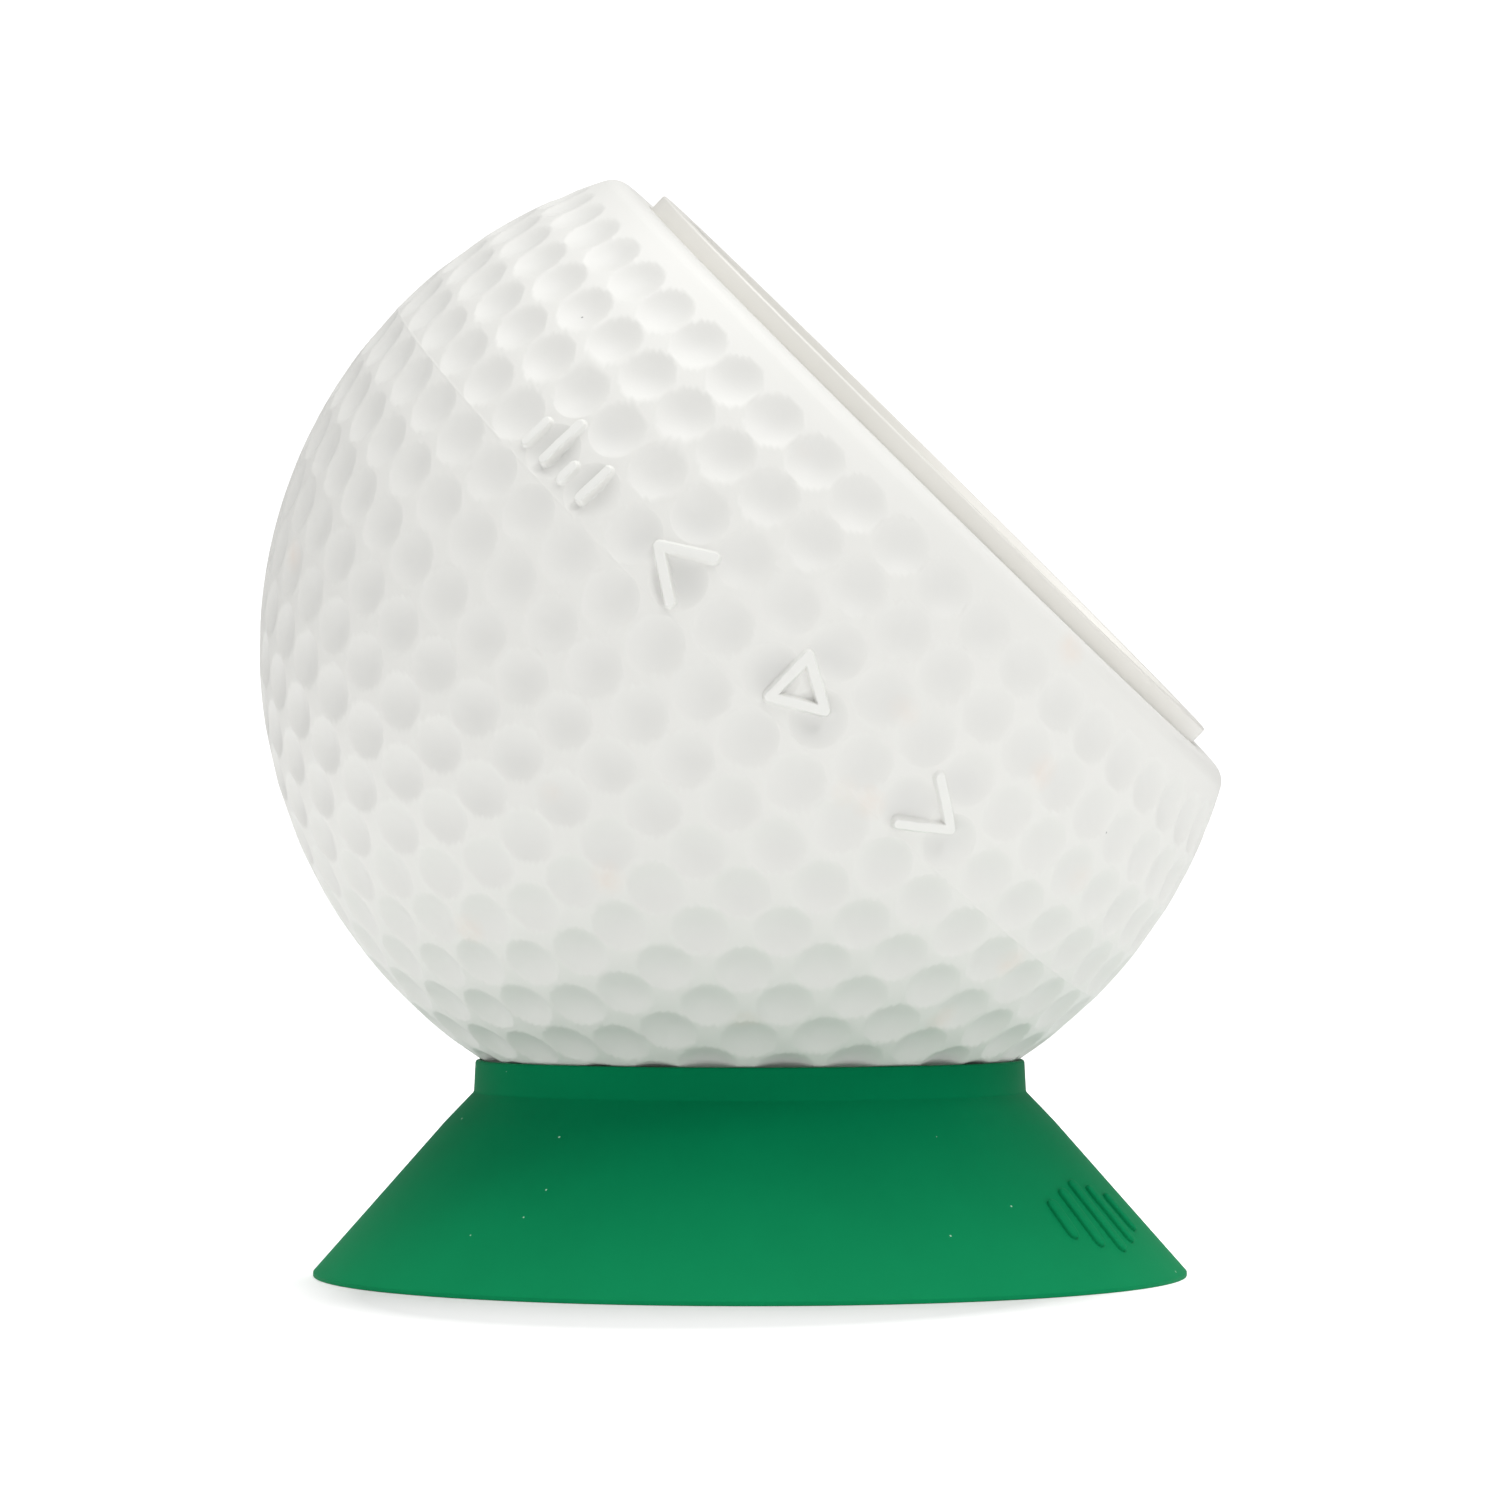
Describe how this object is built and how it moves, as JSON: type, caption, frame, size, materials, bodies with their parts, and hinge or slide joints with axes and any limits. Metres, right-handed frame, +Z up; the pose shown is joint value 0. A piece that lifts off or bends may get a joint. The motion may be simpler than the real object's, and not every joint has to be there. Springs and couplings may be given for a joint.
{
  "type": "ball-shaped portable speaker",
  "caption": "Portable speaker shaped like a dimpled golf ball with a slanted round front, raised side keys and a suction-cup foot.",
  "frame": {"origin": "middle of the footprint box at the floor, 0.85 mm behind the foot's own axis", "axes": "+Z up from the floor, +X towards the side that the slanted front faces, -Y towards the keys"},
  "size_m": [0.0882, 0.0907, 0.1005],
  "materials": {
    "white_silicone": "fine matt moulded silicone, dimpled",
    "green_silicone": "soft satin silicone, a little see-through at its thin edge",
    "ivory_plastic": "warm white satin",
    "black_plastic": "moulded, satin",
    "black_cloth": "open acoustic weave",
    "black_rubber": "matt",
    "paper_cone": "treated paper",
    "steel": "stamped",
    "zinc": "zinc plated",
    "ferrite": "sintered",
    "brass": "turned",
    "copper": "enamelled copper winding",
    "circuit_board": "solder mask",
    "flex_circuit": "polyimide film",
    "cell_wrap": "shrink wrap",
    "red_lead": "insulated wire"
  },
  "bodies": {
    "foot": {"suction_cup": "green_silicone", "base_plate": "black_plastic", "base_stud": "zinc"},
    "ball": {"ball_skin": "white_silicone", "front_ring": "ivory_plastic", "grille": "ivory_plastic", "grille_cloth": "black_cloth", "front_baffle": "black_plastic", "rear_housing": "black_plastic", "battery_cradle": "black_plastic", "key_carrier": "black_plastic", "sound_chip": "black_plastic", "equaliser_switch": "black_plastic", "back_switch": "black_plastic", "play_switch": "black_plastic", "next_switch": "black_plastic", "housing_gasket": "black_rubber", "driver_surround": "black_rubber", "speaker_lead": "black_rubber", "threaded_insert": "brass", "top_plate": "zinc", "yoke": "zinc", "radio_module": "zinc", "housing_screw_1": "zinc", "housing_screw_2": "zinc", "housing_screw_3": "zinc", "housing_screw_4": "zinc", "driver_screw_1": "zinc", "driver_screw_2": "zinc", "driver_screw_3": "zinc", "driver_screw_4": "zinc", "driver_frame": "steel", "usb_socket": "steel", "magnet": "ferrite", "spider": "flex_circuit", "key_flex": "flex_circuit", "key_cable": "flex_circuit", "main_board": "circuit_board", "port_board": "circuit_board", "battery_cell": "cell_wrap", "battery_lead": "red_lead", "port_lead": "red_lead"},
    "cone": {"driver_cone": "paper_cone", "dust_cap": "paper_cone", "voice_coil": "copper"},
    "port_flap": {"port_cover": "white_silicone"},
    "equaliser_button": {"equaliser_key": "white_silicone", "equaliser_plunger": "black_plastic"},
    "back_button": {"back_key": "white_silicone", "back_plunger": "black_plastic"},
    "play_button": {"play_key": "white_silicone", "play_plunger": "black_plastic"},
    "next_button": {"next_key": "white_silicone", "next_plunger": "black_plastic"}
  },
  "joints": [
    {"name": "ball_swivel", "type": "hinge", "parent": "foot", "child": "ball", "pos_m": [0.00085, 0, 0.0573], "axis": [0, 0, 1], "continuous": true},
    {"name": "cone_travel", "type": "slide", "parent": "ball", "child": "cone", "axis": [0.7071, 0, 0.7071], "range_m": [-0.0015, 0.0015], "stiffness_N_per_m": 2500, "deforming": ["driver_surround", "spider"]},
    {"name": "port_cover_swing", "type": "hinge", "parent": "ball", "child": "port_flap", "pos_m": [-0.04395, 0, 0.0615], "axis": [0, 1, 0], "range_deg": [0, 110], "stiffness_Nm_per_rad": 0.002},
    {"name": "equaliser_press", "type": "slide", "parent": "ball", "child": "equaliser_button", "axis": [0.2212, 0.9178, -0.3297], "range_m": [0, 0.0006], "stiffness_N_per_m": 1200},
    {"name": "back_press", "type": "slide", "parent": "ball", "child": "back_button", "axis": [0.0072, 0.9933, -0.1157], "range_m": [0, 0.0006], "stiffness_N_per_m": 1200},
    {"name": "play_press", "type": "slide", "parent": "ball", "child": "play_button", "axis": [-0.2308, 0.9653, 0.1223], "range_m": [0, 0.0006], "stiffness_N_per_m": 1200},
    {"name": "next_press", "type": "slide", "parent": "ball", "child": "next_button", "axis": [-0.4586, 0.8167, 0.3501], "range_m": [0, 0.0006], "stiffness_N_per_m": 1200}
  ]
}
